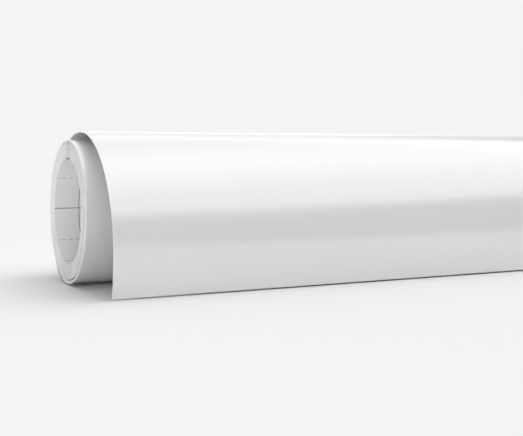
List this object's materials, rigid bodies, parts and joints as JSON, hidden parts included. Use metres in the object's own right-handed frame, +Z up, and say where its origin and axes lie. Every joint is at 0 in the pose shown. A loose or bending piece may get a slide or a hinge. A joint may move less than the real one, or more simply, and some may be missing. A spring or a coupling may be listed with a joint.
{
  "type": "roll of sign vinyl",
  "caption": "Coreless roll of white self-adhesive vinyl sheet on a printed liner, its loose last turn standing off the pack and draping to the floor as a flap.",
  "frame": {"origin": "middle of the base: under the middle of the object's box, on the plane the roll lies on", "axes": "+X along the roll's axis, away from the end whose bore shows; -Y the front, where the flap comes down; +Z up"},
  "size_m": [0.617, 0.1536, 0.1097],
  "materials": {
    "film": "gloss",
    "adhesive": "satin, tacky",
    "liner": "silicone coated paper, printed grid",
    "wound_web": "cut edges of wound web"
  },
  "bodies": {
    "loose_turn": {"loop_film": "film", "loop_adhesive": "adhesive", "loop_liner": "liner", "outer_lap_film": "film", "outer_lap_adhesive": "adhesive", "outer_lap_liner": "liner", "outer_turns": "wound_web"},
    "flap": {"flap_film": "film", "flap_adhesive": "adhesive", "flap_liner": "liner"},
    "peel_edge": {"peel_film": "film", "peel_adhesive": "adhesive"},
    "sleeve_1": {"sleeve_1_outside": "wound_web", "sleeve_1_inside": "wound_web"},
    "sleeve_2": {"sleeve_2_outside": "wound_web", "sleeve_2_inside": "wound_web"},
    "sleeve_3": {"sleeve_3_outside": "wound_web", "sleeve_3_inside": "wound_web"},
    "sleeve_4": {"sleeve_4_outside": "wound_web", "sleeve_4_inside": "wound_web", "bore_lap_film": "film", "bore_lap_adhesive": "adhesive", "bore_lap_liner": "liner"}
  },
  "joints": [
    {"name": "flap_lift", "type": "hinge", "parent": "loose_turn", "child": "flap", "pos_m": [0, -0.03366, 0.10019], "axis": [-1, 0, 0], "range_deg": [0, 70]},
    {"name": "film_peel", "type": "hinge", "parent": "flap", "child": "peel_edge", "pos_m": [0, -0.07083, 0.05901], "axis": [-1, 0, 0], "range_deg": [0, 120]},
    {"name": "roll_turn", "type": "hinge", "parent": "loose_turn", "child": "sleeve_1", "pos_m": [0, 0.01261, 0.052], "axis": [1, 0, 0], "continuous": true},
    {"name": "telescope_2", "type": "slide", "parent": "sleeve_1", "child": "sleeve_2", "axis": [-1, 0, 0], "range_m": [0, 0.03]},
    {"name": "telescope_3", "type": "slide", "parent": "sleeve_2", "child": "sleeve_3", "axis": [-1, 0, 0], "range_m": [0, 0.03]},
    {"name": "telescope_4", "type": "slide", "parent": "sleeve_3", "child": "sleeve_4", "axis": [-1, 0, 0], "range_m": [0, 0.03]}
  ],
  "couplings": [
    {"joint": "telescope_3", "follows": "telescope_2", "ratio": 1},
    {"joint": "telescope_4", "follows": "telescope_2", "ratio": 1}
  ]
}
